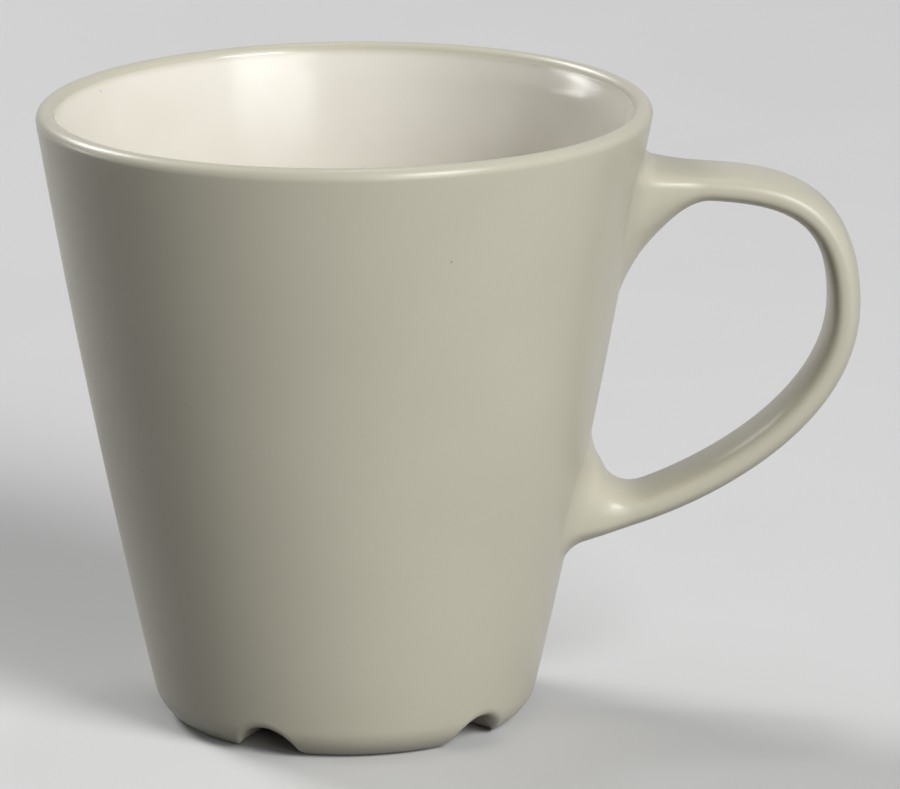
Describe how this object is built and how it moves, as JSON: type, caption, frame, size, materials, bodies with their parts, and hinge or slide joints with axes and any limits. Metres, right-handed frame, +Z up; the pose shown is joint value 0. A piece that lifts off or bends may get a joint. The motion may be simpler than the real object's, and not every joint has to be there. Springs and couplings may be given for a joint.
{
  "type": "mug",
  "caption": "Tapered stoneware mug with a flared loop handle, a satin grey-green outside glaze, a glossy cream liner and a foot ring with arched drain notches.",
  "frame": {"origin": "centre of the foot ring, in the plane that stands on the table", "axes": "+Z up along the cup's axis, +X from the axis towards the handle"},
  "size_m": [0.1244, 0.0924, 0.095],
  "materials": {
    "clay": "dry fired stoneware",
    "slip": "fired luting slip",
    "liner_glaze": "gloss cream glaze",
    "outer_glaze": "satin grey-green glaze"
  },
  "bodies": {
    "root": {"cup_body": "clay", "handle": "clay", "upper_handle_joint": "slip", "lower_handle_joint": "slip", "inner_glaze": "liner_glaze", "outer_glaze": "outer_glaze"}
  },
  "joints": []
}
